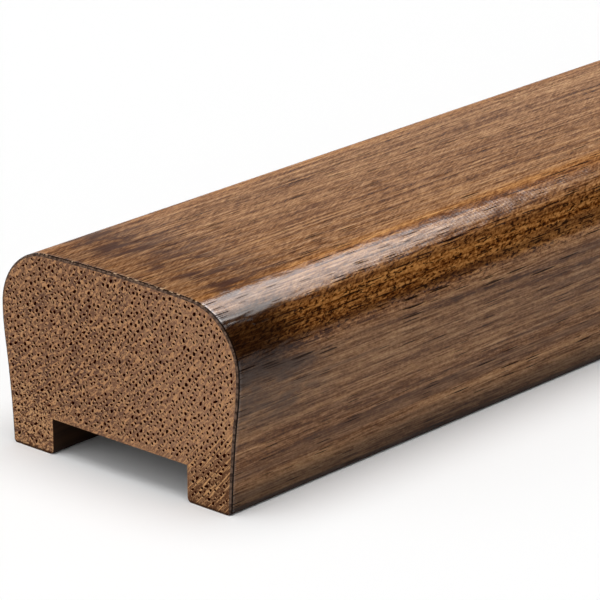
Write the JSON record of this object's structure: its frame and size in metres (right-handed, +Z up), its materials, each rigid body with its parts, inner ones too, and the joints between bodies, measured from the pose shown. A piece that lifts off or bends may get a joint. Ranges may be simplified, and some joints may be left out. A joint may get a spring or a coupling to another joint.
{
  "type": "stair handrail length",
  "caption": "Length of moulded hardwood stair handrail with a softly crowned top, rounded grip corners, tucked-in sides and a spindle groove ploughed along its underside.",
  "frame": {"origin": "middle of the underside, halfway along the rail, on the floor it lies on", "axes": "+X along the rail, +Y across it, +Z up from the legs towards the crowned top"},
  "size_m": [2.4, 0.0716, 0.0469],
  "materials": {
    "stained_hardwood": "dark walnut-brown stain under satin lacquer, open pores, ends sawn and matt"
  },
  "bodies": {
    "root": {"handrail": "stained_hardwood"}
  },
  "joints": []
}
